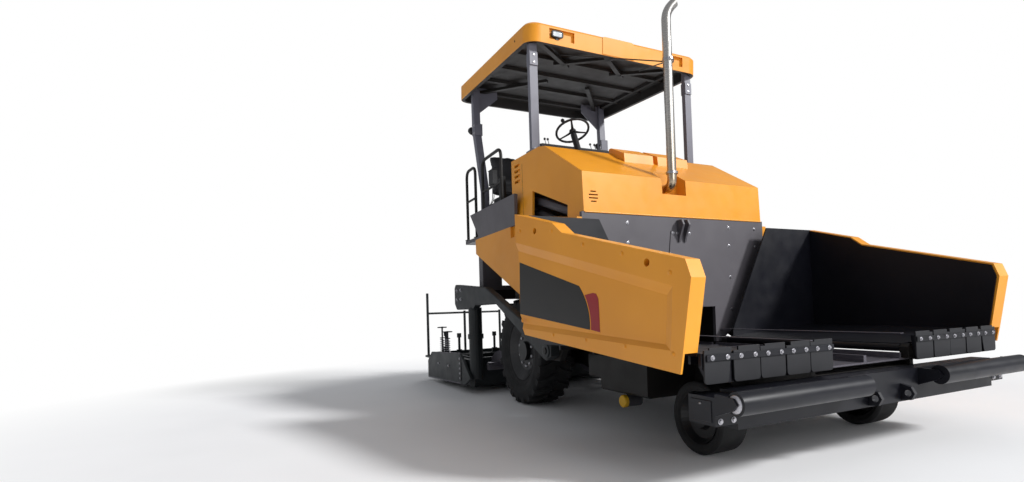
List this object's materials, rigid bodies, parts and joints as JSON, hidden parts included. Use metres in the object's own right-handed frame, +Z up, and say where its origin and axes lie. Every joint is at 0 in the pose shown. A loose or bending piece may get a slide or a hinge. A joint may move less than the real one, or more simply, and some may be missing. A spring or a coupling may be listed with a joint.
{
  "type": "wheeled asphalt paver",
  "caption": "Wheeled asphalt paver with a folding hopper, push rollers, slat conveyor, engine hood, canopied driver's platform, augers and an extending screed on tow arms.",
  "frame": {"origin": "on the ground under the middle of the machine's length and width", "axes": "+X forward, towards the hopper; +Y to the machine's left; +Z up"},
  "size_m": [6.873, 3.567, 4.1856],
  "materials": {
    "yellow_paint": "semi-gloss amber-yellow enamel",
    "dark_paint": "semi-gloss blue-black enamel",
    "grey_paint": "satin dark grey enamel",
    "post_paint": "satin grey-lilac enamel",
    "frame_paint": "satin black-brown frame enamel",
    "screed_steel": "satin dark green-grey enamel",
    "tyre_rubber": "black rubber",
    "rim_paint": "black rim enamel",
    "stainless": "brushed stainless",
    "cast_iron": "cast iron",
    "worn_steel": "worn bare steel",
    "seat_vinyl": "black vinyl",
    "lamp_lens": "clear lens",
    "black_plastic": "moulded black plastic"
  },
  "bodies": {
    "chassis": {"chassis_frame": "frame_paint", "side_tanks": "frame_paint", "front_beam": "dark_paint", "rear_axle": "frame_paint", "front_axle": "frame_paint", "hopper_back_wall": "grey_paint", "conveyor": "worn_steel", "hood": "yellow_paint", "engine_block": "cast_iron", "cooling_pack": "grey_paint", "cooler_pipes": "grey_paint", "exhaust_stack": "stainless", "side_panel_right": "yellow_paint", "side_panel_left": "yellow_paint", "operator_platform": "grey_paint", "side_box_right": "grey_paint", "side_box_left": "grey_paint", "console": "black_plastic", "seat_bases": "black_plastic", "seat_cushions": "seat_vinyl", "canopy_roof": "yellow_paint", "canopy_ribs": "grey_paint", "canopy_posts": "post_paint", "roof_lamps": "lamp_lens", "handrails": "dark_paint", "auger_gearbox": "frame_paint"},
    "steering_wheel": {"steering_wheel": "black_plastic"},
    "screed": {"tow_arm_right": "screed_steel", "tow_arm_left": "screed_steel", "screed_main": "screed_steel"},
    "rear_wheel_right": {"rear_tyre_right": "tyre_rubber", "rear_rim_right": "rim_paint"},
    "knuckle_right": {"steering_knuckle_right": "frame_paint"},
    "front_wheel_right": {"front_tyre_right": "tyre_rubber", "front_rim_right": "rim_paint"},
    "push_roller_right": {"push_roller_right": "dark_paint"},
    "wing_right": {"wing_shell_right": "yellow_paint", "wing_liner_right": "dark_paint"},
    "auger_right": {"auger_right": "worn_steel"},
    "screed_extension_right": {"screed_extension_right": "screed_steel", "screed_walkway_right": "screed_steel"},
    "rear_wheel_left": {"rear_tyre_left": "tyre_rubber", "rear_rim_left": "rim_paint"},
    "knuckle_left": {"steering_knuckle_left": "frame_paint"},
    "front_wheel_left": {"front_tyre_left": "tyre_rubber", "front_rim_left": "rim_paint"},
    "push_roller_left": {"push_roller_left": "dark_paint"},
    "wing_left": {"wing_shell_left": "yellow_paint", "wing_liner_left": "dark_paint"},
    "auger_left": {"auger_left": "worn_steel"},
    "screed_extension_left": {"screed_extension_left": "screed_steel", "screed_walkway_left": "screed_steel"}
  },
  "joints": [
    {"name": "rear_wheel_right_spin", "type": "hinge", "parent": "chassis", "child": "rear_wheel_right", "pos_m": [-0.1965, -1.117, 0.58], "axis": [0, 1, 0], "continuous": true},
    {"name": "steer_right", "type": "hinge", "parent": "chassis", "child": "knuckle_right", "pos_m": [2.5035, -0.64, 0.257], "axis": [0, 0, 1], "range_deg": [-25, 25]},
    {"name": "front_wheel_right_spin", "type": "hinge", "parent": "knuckle_right", "child": "front_wheel_right", "pos_m": [2.5035, -0.956, 0.257], "axis": [0, 1, 0], "continuous": true},
    {"name": "push_roller_right_spin", "type": "hinge", "parent": "chassis", "child": "push_roller_right", "pos_m": [3.3735, -0.385, 0.52], "axis": [0, 1, 0], "continuous": true},
    {"name": "wing_right_fold", "type": "hinge", "parent": "chassis", "child": "wing_right", "pos_m": [2.2035, -0.46, 0.68], "axis": [-1, 0, 0], "range_deg": [0, 45]},
    {"name": "auger_right_spin", "type": "hinge", "parent": "chassis", "child": "auger_right", "pos_m": [-1.0665, -0.07, 0.35], "axis": [0, 1, 0], "continuous": true},
    {"name": "screed_extension_right_slide", "type": "slide", "parent": "screed", "child": "screed_extension_right", "axis": [0, -1, 0], "range_m": [0, 0.6]},
    {"name": "rear_wheel_left_spin", "type": "hinge", "parent": "chassis", "child": "rear_wheel_left", "pos_m": [-0.1965, 1.117, 0.58], "axis": [0, 1, 0], "continuous": true},
    {"name": "steer_left", "type": "hinge", "parent": "chassis", "child": "knuckle_left", "pos_m": [2.5035, 0.64, 0.257], "axis": [0, 0, 1], "range_deg": [-25, 25]},
    {"name": "front_wheel_left_spin", "type": "hinge", "parent": "knuckle_left", "child": "front_wheel_left", "pos_m": [2.5035, 0.956, 0.257], "axis": [0, 1, 0], "continuous": true},
    {"name": "push_roller_left_spin", "type": "hinge", "parent": "chassis", "child": "push_roller_left", "pos_m": [3.3735, 0.385, 0.52], "axis": [0, 1, 0], "continuous": true},
    {"name": "wing_left_fold", "type": "hinge", "parent": "chassis", "child": "wing_left", "pos_m": [2.2035, 0.46, 0.68], "axis": [1, 0, 0], "range_deg": [0, 45]},
    {"name": "auger_left_spin", "type": "hinge", "parent": "chassis", "child": "auger_left", "pos_m": [-1.0665, 0.07, 0.35], "axis": [0, 1, 0], "continuous": true},
    {"name": "screed_extension_left_slide", "type": "slide", "parent": "screed", "child": "screed_extension_left", "axis": [0, 1, 0], "range_m": [0, 0.6]},
    {"name": "screed_lift", "type": "hinge", "parent": "chassis", "child": "screed", "pos_m": [0.8935, 0, 0.655], "axis": [0, 1, 0], "range_deg": [0, 6.5]},
    {"name": "steering_wheel_turn", "type": "hinge", "parent": "chassis", "child": "steering_wheel", "pos_m": [-0.3465, -0.24, 3.16], "axis": [-0.4226, 0, 0.9063], "range_deg": [-540, 540]}
  ],
  "couplings": [
    {"joint": "steer_left", "follows": "steer_right", "ratio": 1}
  ]
}
